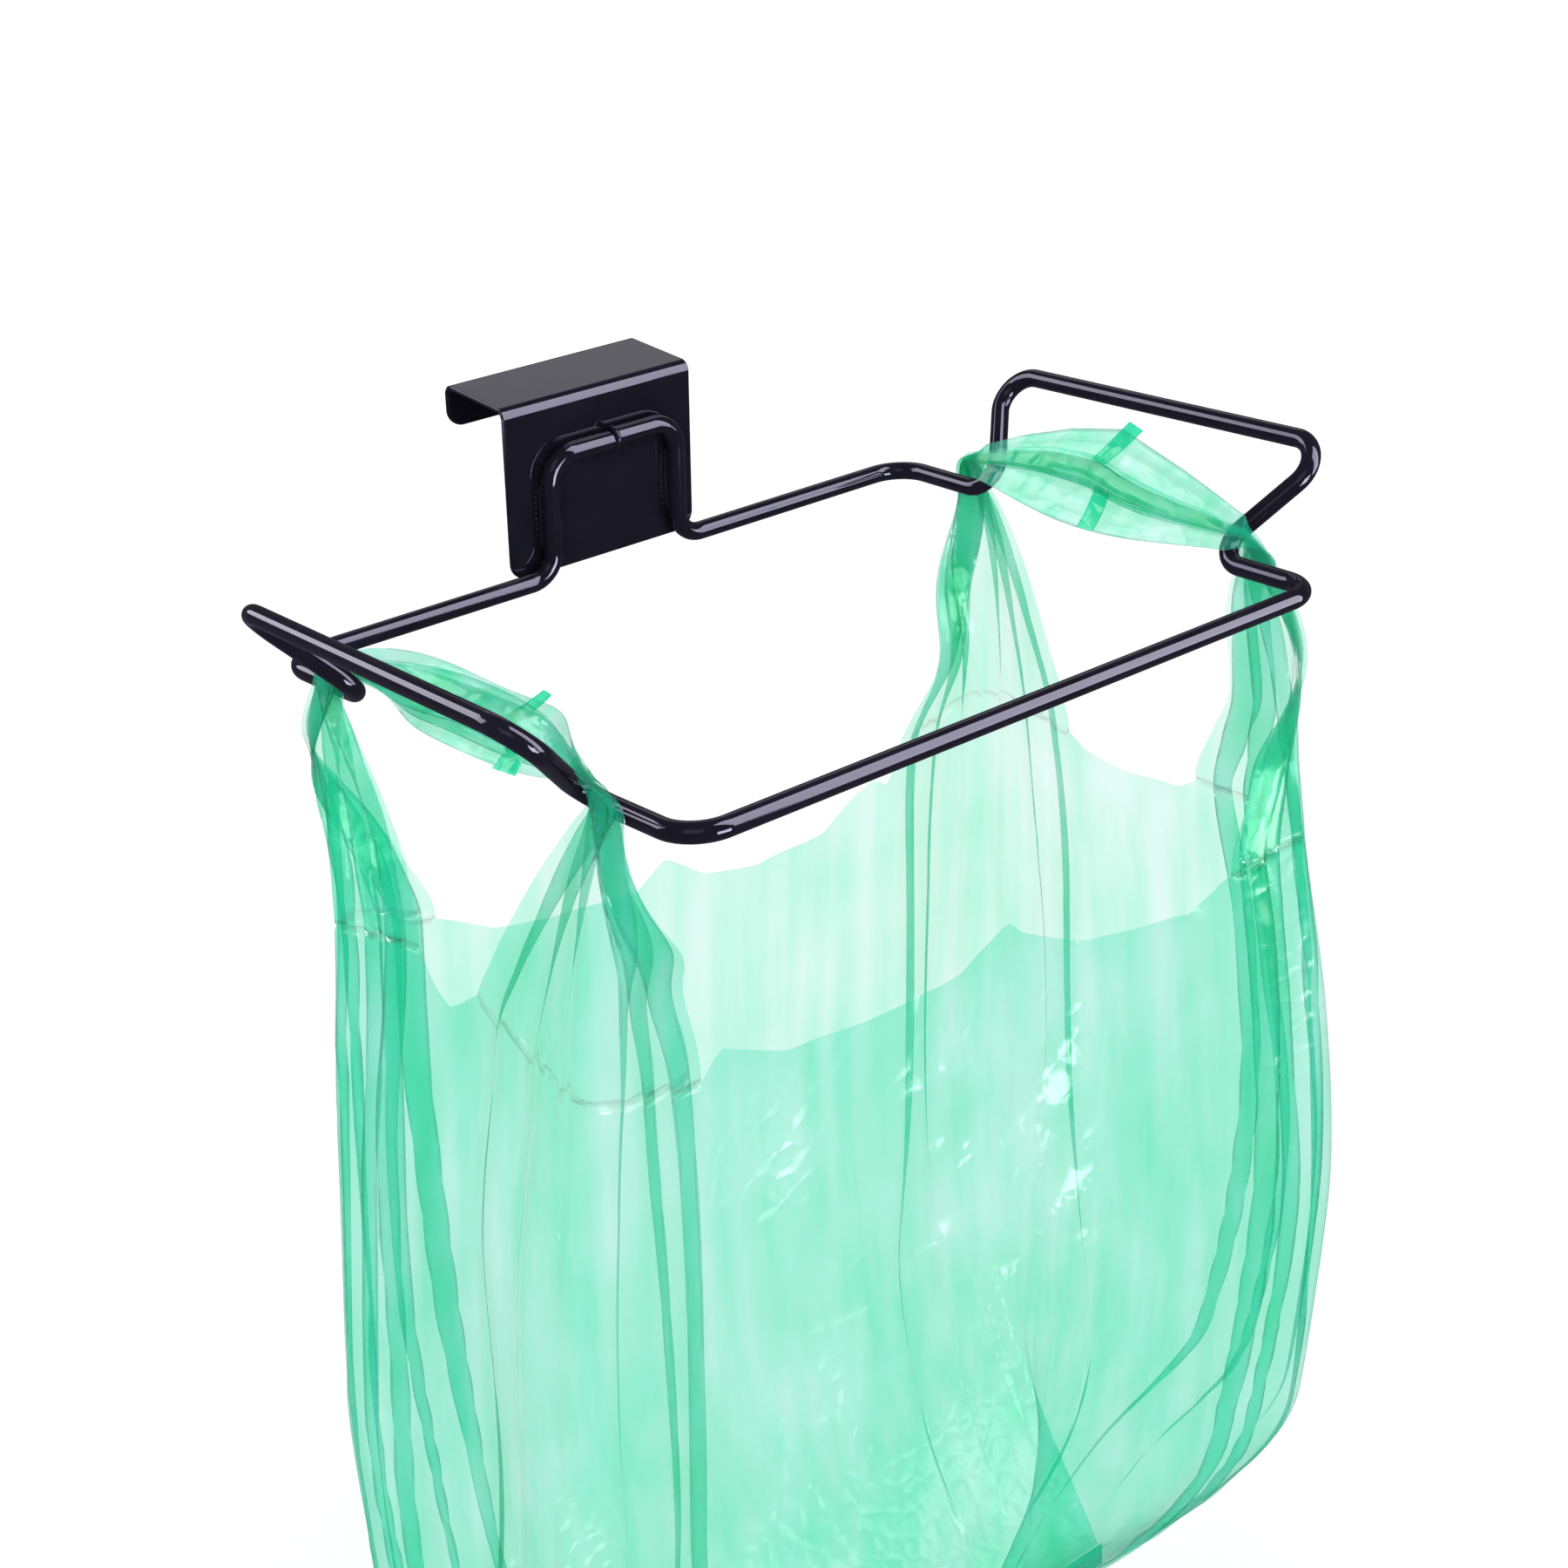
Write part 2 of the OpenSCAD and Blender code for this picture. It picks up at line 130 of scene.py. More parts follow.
# Pleats of each half strap: place from the corner, then the share of the slack film
# that the pleat takes at the gather, at the mouth and where the bag is fullest
PLEATS = ((12.0, (0.32, 0.20, 0.12)), (31.0, (0.34, 0.34, 0.33)), (52.0, (0.34, 0.46, 0.55)))
GATHER_HEIGHT = 0.9  # how far the pleats stand out where the straps gather
# Film in a half strap, crumpled length included, against the drop
LOOSE_FILM = ((33, 68), (120, 67), (230, 64), (330, 56), (426, 48))

# Lengthwise folds of a handle: film from its gusset-side edge, 0, to its face-side edge,
# 96, against how far up the handle's height it lies
HANDLE_FOLDS = {
    1: ((0, 0.62), (16, 0.0), (42, 1.0), (58, 0.34), (66, 0.62), (74, 0.36), (82, 0.64),
        (89, 0.38), (96, 0.66)),
    -1: ((0, 0.50), (10, 0.0), (32, 1.0), (52, 0.08), (64, 0.70), (76, 0.10), (88, 0.75),
         (96, 0.40)),
}
# The dense strip of film: its slant from one foot to the other, and its rise, as shares of
# the handle's height. It crosses the right handle and stays high on the left one.
HANDLE_DRIFT = {1: (0.30, 0.0), -1: (0.0, 0.16)}
# A handle's rear end along the ring and its reach, then its lower and upper edge and its
# gap from the wing at both ends
HANDLE_START, HANDLE_LENGTH = -33.5, 96.0
HANDLE_END_LOW, HANDLE_END_HIGH, HANDLE_END_GAP = 1.5, 12.5, 3.4
# The upper edge rises nearly straight from each end to a peak
HANDLE_PEAK = ((0, 0.12, 0.28, 0.47, 0.75, 1), (0, 0.38, 0.75, 1, 0.52, 0))
# How each handle stands at its middle. The right one lies against its wing, and the left
# one has flopped in over the ring: its lower and upper edge from the line between the
# wing's feet, its lean in from the wing's slope, its height above that line, its gap from
# the wing, and which way its layers stack.
HANDLE_LEAN = {1: (-4.0, 26.0, 0.0, 0.0, 3.4, 1.0),
               -1: (-8.5, 12.5, math.radians(106.0), 4.5, 0.0, -1.0)}


# ---- Sizes and colours that a user may change ----

class HolderFinish(bpy.types.PropertyGroup):
    """Edges and welds of the coated steel"""

    edge_round: FloatProperty(
        name="Sheet edge rounding", description="Radius that the coating gives the hook's edges",
        default=0.35 * MM, min=0.0, max=0.6 * MM, unit="LENGTH", precision=5)
    bead_reach: FloatProperty(
        name="Weld bead", description="Radius of the weld beads beside the hanger's legs",
        default=1.25 * MM, min=0.5 * MM, max=2.0 * MM, unit="LENGTH", precision=5)


class FilmBagSizes(bpy.types.PropertyGroup):
    """Film, pleats and seals of the bag"""

    film: FloatVectorProperty(
        name="Film", description="Colour that the film scatters", subtype="COLOR",
        size=3, min=0, max=1, default=(0.022, 0.88, 0.64))
    haze: FloatProperty(
        name="Haze", description="Share of light that one layer of film scatters",
        default=0.20, min=0.0, max=1.0, subtype="FACTOR")
    pleat_height: FloatProperty(
        name="Pleat height", description="How far the pleats stand out from the film",
        default=1.9 * MM, min=0.0, max=4 * MM, unit="LENGTH", precision=5)
    crinkle: FloatProperty(
        name="Crinkle", description="Depth of the small dents in the film",
        default=0.8 * MM, min=0.0, max=2 * MM, unit="LENGTH", precision=5)
    seal_width: FloatProperty(
        name="Handle seal", description="Width of the heat seal across each handle",
        default=6.4 * MM, min=3 * MM, max=9 * MM, unit="LENGTH", precision=5)


class StudioSettings(bpy.types.PropertyGroup):
    """Camera, floor and light"""

    lens: FloatProperty(
        name="Lens", description="Focal length on a 36 mm sensor", default=60.5, min=20, max=200)
    floor_drop: FloatProperty(
        name="Floor drop", description="Height of the floor below the bag's foot",
        default=12 * MM, min=0.0, max=0.5, unit="LENGTH", precision=4)
    softbox: FloatProperty(
        name="Softbox", description="Power of the softboxes for each square metre",
        default=20.0, min=0.0, max=500.0)


# ---- Small tools ----

def linear(hex_colour):
    """An sRGB hex colour as linear red, green, blue and full alpha."""
    parts = [int(hex_colour[i:i + 2], 16) / 255 for i in (1, 3, 5)]
    bent = (c / 12.92 if c <= 0.04045 else ((c + 0.055) / 1.055) ** 2.4 for c in parts)
    return tuple(bent) + (1.0,)


def add_node(tree, kind, inputs=None, **settings):
    """Adds a node to the tree, with its settings, values and links."""
    node = tree.nodes.new(kind)
    for name, value in settings.items():
        setattr(node, name, value)
    for name, value in (inputs or {}).items():
        if isinstance(value, bpy.types.NodeSocket):
            tree.links.new(value, node.inputs[name])
        else:
            node.inputs[name].default_value = value
    return node


def new_material(name):
    """An empty node material."""
    material = bpy.data.materials.new(name)
    material.use_nodes = True
    material.node_tree.nodes.clear()
    return material, material.node_tree


def colour_ramp(tree, factor, stops):
    """A ramp from a 0 to 1 value through (place, colour) stops."""
    ramp = add_node(tree, "ShaderNodeValToRGB", {"Fac": factor})
    while len(ramp.color_ramp.elements) < len(stops):
        ramp.color_ramp.elements.new(0.5)
    for element, (place, colour) in zip(ramp.color_ramp.elements, stops):
        element.position = place
        element.color = colour
    return ramp.outputs["Color"]


def make_piece(name, points, faces, material):
    """A smooth-shaded mesh from points in millimetres."""
    mesh = bpy.data.meshes.new(name)
    mesh.from_pydata((np.asarray(points, float) * MM).tolist(), [], faces)
    mesh.shade_smooth()
    mesh.materials.append(material)
    piece = bpy.data.objects.new(name, mesh)
    bpy.context.scene.collection.objects.link(piece)
    return piece


def grid_faces(rows, columns, offset=0):
    """Quads of a grid whose points run row by row."""
    return [(offset + r * columns + c, offset + r * columns + c + 1,
             offset + (r + 1) * columns + c + 1, offset + (r + 1) * columns + c)
            for r in range(rows - 1) for c in range(columns - 1)]


def ring_to_part(points):
    """Points of the ring's tilted plane, in the part's frame."""
    p = np.asarray(points, float)
    c, s = math.cos(-RING_RISE), math.sin(-RING_RISE)
    return np.stack([p[..., 0], RAIL_Y + p[..., 1] * c - p[..., 2] * s,
                     RAIL_Z + p[..., 1] * s + p[..., 2] * c], -1)


def ring_side(y):
    """Half width of the ring at a place along its depth."""
    return RING_HALF_BACK + RING_NARROWING * np.asarray(y, float) / RING_DEPTH


def smooth_between(x, table, column=1):
    """Value at x from a short table, eased through its points without overshoot."""
    rows = np.array(table, float)
    xs, ys = rows[:, 0], rows[:, column]
    gap, rise = np.diff(xs), np.diff(ys)
    slope = rise / gap
    before, after = slope[:-1], slope[1:]
    both = before + after + 1e-12 * np.sign(after)  # never quite zero
    inner = np.where(before * after > 0, 2 * before * after / both, 0)
    tangent = np.concatenate([[slope[0]], inner, [slope[-1]]])
    x = np.clip(np.asarray(x, float), xs[0], xs[-1])
    i = np.clip(np.searchsorted(xs, x, side="right") - 1, 0, len(xs) - 2)
    t = (x - xs[i]) / gap[i]
    return ((1 + 2 * t) * (1 - t) ** 2 * ys[i] + t * (1 - t) ** 2 * gap[i] * tangent[i]
            + t * t * (3 - 2 * t) * ys[i + 1] + t * t * (t - 1) * gap[i] * tangent[i + 1])


def ramp(t, r):
    """max(t, 0), rounded off within r of the corner."""
    return np.where(t <= -r, 0, np.where(t >= r, t, (t + r) ** 2 / (4 * r)))


def ramp_slope(t, r):
    """Slope of ramp at t."""
    return np.clip((t + r) / (2 * r), 0, 1)


def ease(t):
    """0 to 1 as t goes from 0 to 1, level at both ends."""
    t = np.clip(t, 0, 1)
    return t * t * (3 - 2 * t)


class Ripple:
    """Smooth random waves over the film, the same on every run."""

    def __init__(self, seed, round_waves, drop_wave, count=7):
        draw = np.random.default_rng(seed)
        self.turns = draw.integers(1, round_waves + 1, count)
        self.drops = draw.uniform(-1, 1, count) * 2 * math.pi / drop_wave
        self.phase = draw.uniform(0, 2 * math.pi, count)
        self.size = draw.uniform(0.5, 1.0, count)
        self.size /= self.size.sum()

    def at(self, place, drop):
        """Height of the waves at a place round the film and a drop."""
        angle = 2 * math.pi * place[..., None] / FILM_ROUND * self.turns
        return (np.sin(angle + drop[..., None] * self.drops + self.phase) * self.size).sum(-1) * 2


# ---- Shape of the hanging film ----

def strap_place(offset, spread, drop, gather, seed):
    """Where film at an offset of 0 to 48 mm from its corner lies between 0 and spread,
    with the slack taken up in pleats, and how far those pleats stand out."""
    film = smooth_between(drop, LOOSE_FILM)
    slack = np.maximum(film - spread, 0)
    flat = offset * film / STRAP_HALF
    place, height = flat.copy(), np.zeros_like(drop)
    for number, (middle, shares) in enumerate(PLEATS):
        share = smooth_between(drop, ((gather, shares[0]), (112, shares[1]), (230, shares[2])))
        sway = 1.5 * np.sin(drop / 37 + seed + 2.1 * number) * ease((drop - gather) / 60)
        half = share * slack / 4
        t = flat - middle - sway
        round_off = np.maximum(np.minimum(0.8, half * 0.6), 0.15)
        place -= 2 * (ramp(t + half, round_off) - ramp(t - half, round_off))
        reach = np.maximum(half, 0.4)
        side = np.clip(t / reach, -1, 1)
        tail = np.exp(-np.maximum(np.abs(t) - reach, 0) / 4.5)
        height += side * tail * np.minimum(half / 1.2, 1)
    return place * np.maximum(spread / film, 1.0), height


def crease_at(name, drop):
    """x and y of a corner crease at each drop."""
    return np.stack([smooth_between(drop, CREASES[name], 1),
                     smooth_between(drop, CREASES[name], 2)], -1)


def strap_film(name, b, drop):
    """Film of one strap above the mouth. b runs from the face-side edge, -48, to the
    gusset-side edge, +48."""
    face = b < 0
    x_side = 1 if name[0] == "R" else -1
    y_side = -1 if name[1] == "F" else 1
    gather = CREASES[name][0][0]
    spread = np.where(face, smooth_between(drop, FACE_SPREAD[name]),
                      smooth_between(drop, GUSSET_SPREAD[name]))
    place, height = strap_place(np.abs(b), spread, drop, gather, CORNERS[name])
    # Over the wire all the film runs along the depth, and its face side turns further down
    turn = ease((drop - gather - 4) / 50) * math.pi / 2
    face_dir = np.stack([-x_side * np.sin(turn), y_side * np.cos(turn)], -1)
    gusset_dir = np.broadcast_to([0.0, -y_side], face_dir.shape)
    s = np.where(face, -place, place)
    r = 1.0 + 13 * ease((drop - gather) / 60)
    bend = ramp(s, r)[..., None]
    slope = ramp_slope(s, r)[..., None]
    xy = crease_at(name, drop) - face_dir * s[..., None] + (face_dir + gusset_dir) * bend
    along = -face_dir * (1 - slope) + gusset_dir * slope
    along /= np.linalg.norm(along, axis=-1, keepdims=True) + 1e-9
    normal = np.stack([along[..., 1], -along[..., 0]], -1)
    flip = np.sign(normal[..., 0] * x_side + normal[..., 1] * y_side + 1e-6)
    normal = normal * flip[..., None]
    return xy, normal, height


def body_film(u, drop):
    """Film of the bag below its mouth, for places u round the film."""
    corner = {n: crease_at(n, drop) for n in CORNERS}
    tuck = smooth_between(drop, GUSSET_TUCK)
    middle = {}
    for side, (front, rear) in (("R", ("RF", "RR")), ("L", ("LF", "LR"))):
        m = (corner[front] + corner[rear]) / 2
        m[..., 0] -= (1 if side == "R" else -1) * tuck
        middle[side] = m
    keys = [corner["LF"], corner["RF"], middle["R"], corner["RR"], corner["LR"], middle["L"]]
    sides = [keys[(k + 1) % 6] - keys[k] for k in range(6)]
    lengths = [np.linalg.norm(side, axis=-1) for side in sides]
    starts = [sum(lengths[:k]) if k else np.zeros_like(drop) for k in range(6)]
    total = sum(lengths)

    # Film marks: where the film's strap edges lie on the section
    spread = {(n, kind): smooth_between(drop, table[n])
              for n in CORNERS for kind, table in (("face", FACE_SPREAD),
                                                   ("gusset", GUSSET_SPREAD))}
    s = np.zeros_like(drop)
    height = np.zeros_like(drop)
    corner_at = {"LF": starts[0], "RF": starts[1], "RR": starts[3], "LR": starts[4]}
    for n, corner_place in CORNERS.items():
        for direction in (1, -1):
            offset = (u - corner_place) * direction
            if n == "LF" and direction == -1:
                offset = FILM_ROUND - u
            inside = (offset >= 0) & (offset <= STRAP_HALF)
            kind = "face" if (n in ("LF", "RR")) == (direction == 1) else "gusset"
            place, lift = strap_place(np.clip(offset, 0, STRAP_HALF), spread[n, kind], drop,
                                      CREASES[n][0][0], corner_place)
            base = corner_at[n] if not (n == "LF" and direction == -1) else total
            s = np.where(inside, base + direction * place, s)
            height = np.where(inside, height + lift, height)
    stretches = (("LF", "RF", "face"), ("RF", "RR", "gusset"), ("RR", "LR", "face"),
                 ("LR", "LF", "gusset"))
    for a, b, kind in stretches:
        low = CORNERS[a] + STRAP_HALF
        high = (CORNERS[b] if b != "LF" else FILM_ROUND) - STRAP_HALF
        inside = (u > low) & (u < high)
        begin = corner_at[a] + spread[a, kind]
        end = (corner_at[b] if b != "LF" else total) - spread[b, kind]
        s = np.where(inside, begin + (u - low) / (high - low) * (end - begin), s)

    # Rounded closed section through the keys
    crease_r = smooth_between(drop, ((90, 12), (230, 11), (330, 7), (426, 1.0)))
    fold_r = smooth_between(drop, ((90, 12), (230, 12), (300, 6), (426, 1.0)))
    ways = [side / length[..., None] for side, length in zip(sides, lengths)]
    xy = keys[0] + ways[0] * s[..., None]
    along = np.broadcast_to(ways[0], xy.shape).copy()
    for k in range(1, 7):
        change = ways[k % 6] - ways[k - 1]
        at = starts[k] if k < 6 else total
        r = fold_r if k in (2, 5) else crease_r
        xy = xy + change * ramp(s - at, r)[..., None]
        along = along + change * ramp_slope(s - at, r)[..., None]
    change = ways[0] - ways[5]  # rounds the first corner on its other side too
    near = ramp(s, crease_r) - np.maximum(s, 0)
    xy = xy + change * near[..., None]
    along = along + change * (ramp_slope(s, crease_r) - (s >= 0))[..., None]
    along /= np.linalg.norm(along, axis=-1, keepdims=True) + 1e-9
    normal = np.stack([along[..., 1], -along[..., 0]], -1)

    # The faces belly out a little below the mouth
    belly = smooth_between(drop, ((112, -1.5), (150, 1.0), (225, 5.0), (320, 3.0), (426, 0)))
    on_front = u < CORNERS["RF"]
    on_rear = (u > CORNERS["RR"]) & (u < CORNERS["LR"])
    front = np.sin(np.clip((s - starts[0]) / lengths[0], 0, 1) * math.pi) * on_front
    rear = np.sin(np.clip((s - starts[3]) / lengths[3], 0, 1) * math.pi) * on_rear
    push = belly * (front + 0.6 * rear)
    return xy + normal * push[..., None], normal, height


def crinkles(u, drop, seed=11, count=230, front_count=150):
    """Small dents and ridges, thickest in the middle of the front face."""
    draw = np.random.default_rng(seed)
    total = np.zeros_like(drop)
    for number in range(count):
        if number < front_count:  # the crumpled patch of the front face
            centre = (draw.normal(140, 34), draw.normal(205, 46))
            size = draw.uniform(0.35, 1.0)
        else:
            centre = (draw.uniform(0, FILM_ROUND), draw.uniform(120, 410))
            size = draw.uniform(0.15, 0.5)
        angle = draw.uniform(-1.3, 1.3)
        length, width = draw.uniform(7, 24), draw.uniform(1.8, 4.5)
        sign = draw.choice((-1, 1))
        du = (u - centre[0] + FILM_ROUND / 2) % FILM_ROUND - FILM_ROUND / 2
        dz = drop - centre[1]
        near = (np.abs(du) < 30) & (np.abs(dz) < 30)
        p = du[near] * math.cos(angle) + dz[near] * math.sin(angle)
        q = -du[near] * math.sin(angle) + dz[near] * math.cos(angle)
        total[near] += sign * size * (np.maximum(1 - np.abs(q) / width, 0)
                                      * np.maximum(1 - (p / length) ** 2, 0))
    return total


def film_columns():
    """Places round the film, finer through the straps, then the first column of each strap
    and how many columns a strap has."""
    strap_steps, face_steps, gusset_steps = 80, 76, 18
    places, straps = [], {}
    ends = (*list(CORNERS.values())[1:], FILM_ROUND)
    for (name, corner), end in zip(CORNERS.items(), ends):
        steps = face_steps if name in ("LF", "RR") else gusset_steps
        width = end - corner - 2 * STRAP_HALF
        straps[name] = len(places)
        places += list(corner + np.linspace(-STRAP_HALF, STRAP_HALF, strap_steps + 1))
        places += list(corner + STRAP_HALF + width * np.arange(1, steps) / steps)
    return np.array(places) % FILM_ROUND, straps, strap_steps + 1


def build_film(sizes):
    """Points and faces of the whole film: the bag, its four straps and the two handles."""
    pleat = sizes.pleat_height / MM
    dent = sizes.crinkle / MM
    slow, quick = Ripple(3, 9, 190.0), Ripple(5, 34, 120.0, 9)
    u, straps, wide = film_columns()
    rows = 116  # from the mouth to the foot
    t = np.linspace(0, 1, rows)[:, None]
    edge = np.interp(u, *np.array(MOUTH_EDGE, float).T)
    drop = edge[None, :] * (1 - t) + FOOT_DROP * t
    uu = np.broadcast_to(u, drop.shape)
    xy, normal, height = body_film(uu, drop)
    full = 1 - ease((drop - 330) / 90)  # 0 where the bag closes towards its foot
    # Pleats, slow swells and quick ripples, all calmer towards the foot
    push = height * pleat * (0.35 + 0.65 * full) * np.minimum(1, (FOOT_DROP - drop) / 40)
    push = push + slow.at(uu, drop) * 1.5 * full * ease((drop - edge) / 60)
    push = push + quick.at(uu, drop) * 0.7 * full * ease((drop - edge) / 40)
    lip = np.exp(-(drop - edge) / 11.0)  # the cut edge flutters, and the film below it less
    corner_gap = np.min([np.abs((uu - c + FILM_ROUND / 2) % FILM_ROUND - FILM_ROUND / 2)
                         for c in CORNERS.values()], axis=0)
    free = ease((corner_gap - STRAP_HALF) / 8)  # 1 where the mouth's edge hangs free
    push = push + lip * quick.at(uu, 0 * drop + 40) * 1.1 * free
    push = push + crinkles(uu, drop) * dent * full * np.maximum(free, ease((drop - edge) / 25))
    body = np.concatenate([xy + normal * push[..., None], -drop[..., None]], -1)
    count = len(u)
    points = [body.reshape(-1, 3)]
    faces = []
    for r in range(rows - 1):
        for c in range(count):
            d = (c + 1) % count
            faces.append((r * count + c, (r + 1) * count + c, (r + 1) * count + d, r * count + d))

    for side, front, rear in ((1, "RF", "RR"), (-1, "LF", "LR")):
        grid, seam_front, seam_rear = handle_loop(side, front, rear, straps, wide, edge,
                                                   body[0], sizes)
        offset = sum(len(p) for p in points)
        loop_rows = grid.shape[0]
        points.append(grid.reshape(-1, 3))
        index = offset + np.arange(loop_rows * wide).reshape(loop_rows, wide)
        index[0], index[-1] = seam_front, seam_rear
        for r in range(loop_rows - 1):
            for c in range(wide - 1):
                quad = (int(index[r, c]), int(index[r + 1, c]), int(index[r + 1, c + 1]),
                        int(index[r, c + 1]))
                faces.append(quad if side > 0 else quad[::-1])
    return np.concatenate(points), faces


def strap_rows(name, edge_drops, b, sizes, count=34):
    """Strap points from the mouth, row 0, up to the gather, the last row."""
    gather = CREASES[name][0][0]
    t = np.linspace(0, 1, count)[:, None]
    drop = edge_drops[None, :] * (1 - t) + gather * t
    bb = np.broadcast_to(b, drop.shape)
    xy, normal, height = strap_film(name, bb, drop)
    pleat = sizes.pleat_height / MM
    stand = GATHER_HEIGHT + (pleat - GATHER_HEIGHT) * ease((drop - gather) / 45)
    push = height * stand
    return np.concatenate([xy + normal * push[..., None], -drop[..., None]], -1)


def handle_point(side, along, up, out):
    """A point on a handle: along from the rear foot, 0, to the front foot, 1, up the
    wing's slope as a share of the handle's height, and out towards the ring's middle."""
    along, up, out = np.broadcast_arrays(*(np.asarray(v, float) for v in (along, up, out)))
    y = HANDLE_START - HANDLE_LENGTH * along
    swell = np.sin(np.clip(along, 0, 1) * math.pi) ** 0.85
    mid_low, mid_high, lean, lift, mid_gap, stack = HANDLE_LEAN[side]
    low = HANDLE_END_LOW + (mid_low - HANDLE_END_LOW) * swell ** 1.5
    high = HANDLE_END_HIGH + (mid_high - HANDLE_END_HIGH) * np.interp(along, *HANDLE_PEAK)
    climb = low + (high - low) * up
    tilt = math.atan2(WING_UP, WING_OUT) + lean * swell
    slope_way = np.stack([np.cos(tilt), 0 * tilt, np.sin(tilt)], -1)
    ring_way = np.stack([-np.sin(tilt), 0 * tilt, np.cos(tilt)], -1)
    base = np.stack([ring_side(y), y, lift * swell], -1)
    gap = HANDLE_END_GAP + (mid_gap - HANDLE_END_GAP) * swell + out * stack
    p = base + slope_way * climb[..., None] + ring_way * gap[..., None]
    p[..., 0] *= side
    return ring_to_part(p)


def handle_loop(side, front, rear, straps, wide, edge, mouth, sizes):
    """One handle with its two straps, as a grid from the front mouth edge to the rear one."""
    b = np.linspace(-STRAP_HALF, STRAP_HALF, wide)
    seams = {}
    for name in (front, rear):
        columns = straps[name] + np.arange(wide)
        if name in ("LF", "RR"):  # the gusset lies on the lower-numbered side
            columns = columns[::-1]
        seams[name] = columns
    rows = {}
    for name in (front, rear):
        points = strap_rows(name, edge[seams[name]], b, sizes)
        # Each strap leaves the bag where the bag's film ends, and settles within 30 mm
        settle = 1 - ease(np.linspace(0, 1, len(points)) / 0.5)
        rows[name] = points + (mouth[seams[name]] - points[0]) * settle[:, None, None]
    front_rows, rear_rows = rows[front], rows[rear][::-1]

    ripple = Ripple(17 + side, 30, 60.0, 8)
    folds = np.array(HANDLE_FOLDS[side], float)
    run = STRAP_HALF - b  # 0 at the gusset-side edge
    up = np.interp(run, folds[:, 0], folds[:, 1])
    layer = np.interp(run, folds[:, 0], np.arange(len(folds)))
    steps = 44
    along = np.linspace(1, 0, steps)[:, None]
    wobble = ripple.at(np.broadcast_to(run * 6, (steps, wide)), along * 90 + 0 * run)
    slant, rise = HANDLE_DRIFT[side]
    drift = slant * (0.5 - along) + rise
    shift = drift * np.interp(run, (0, 16, 42, 56, 96), (1, 0, 0, 1, 1))
    swell = np.sin(along * math.pi)
    climb = up[None, :] + shift * swell + 0.015 * wobble * swell
    out = layer[None, :] * (0.32 + 0.22 * swell) + wobble * 0.45 * swell
    band = handle_point(side, along, climb, out)

    def over_the_wire(start, before, end, after):
        """Rows of film from a handle's end, over the wire, to the top of a strap, as a
        curve that leaves one and meets the other in line with it."""
        lead = start - before
        lead = lead / (np.linalg.norm(lead, axis=-1, keepdims=True) + 1e-9)
        fall = after - end
        fall = fall / (np.linalg.norm(fall, axis=-1, keepdims=True) + 1e-9)
        p1 = start + lead * 4.5 + np.array([side * 1.0, 0, 0.6])
        p2 = end - fall * 7.5
        q = np.linspace(0, 1, 13)[1:-1, None, None]
        return ((1 - q) ** 3 * start + 3 * (1 - q) ** 2 * q * p1 + 3 * (1 - q) * q * q * p2
                + q ** 3 * end)

    to_front = over_the_wire(band[0], band[1], front_rows[-1], front_rows[-2])[::-1]
    to_rear = over_the_wire(band[-1], band[-2], rear_rows[0], rear_rows[1])
    grid = np.concatenate([front_rows, to_front, band, to_rear, rear_rows])
    return grid, seams[front], seams[rear]


# ---- Materials ----

def gloss_powder_coat():
    """Gloss polyester powder coat, sprayed and baked on mild steel: a deep violet black with
    a hard, slightly orange-peeled gloss, so softboxes show as sharp grey-violet strips."""
    material, tree = new_material("gloss_polyester_powder_coat_on_steel")
    where = add_node(tree, "ShaderNodeTexCoord").outputs["Object"]
    # Orange peel of a baked powder coat: waves about 1.4 mm apart
    peel = add_node(tree, "ShaderNodeTexNoise", {"Vector": where, "Scale": 720.0, "Detail": 2.0})
    bump = add_node(tree, "ShaderNodeBump", {
        "Strength": 0.10, "Distance": 0.05 * MM, "Height": peel.outputs["Fac"]})
    # Handling haze: patches about 15 mm across
    haze = add_node(tree, "ShaderNodeTexNoise", {"Vector": where, "Scale": 65.0, "Detail": 3.0})
    rough = add_node(tree, "ShaderNodeMapRange", {
        "Value": haze.outputs["Fac"], "From Min": 0.3, "From Max": 0.7,
        "To Min": 0.05, "To Max": 0.09})
    tone = colour_ramp(tree, haze.outputs["Fac"],
                       ((0.3, linear("#14121C")), (0.7, linear("#1C1926"))))
    paint = add_node(tree, "ShaderNodeBsdfPrincipled", {
        "Base Color": tone, "Roughness": rough.outputs["Result"], "IOR": 1.5,
        "Specular Tint": linear("#D9D4F2"), "Normal": bump.outputs["Normal"]})
    add_node(tree, "ShaderNodeOutputMaterial", {"Surface": paint.outputs["BSDF"]})
    return material


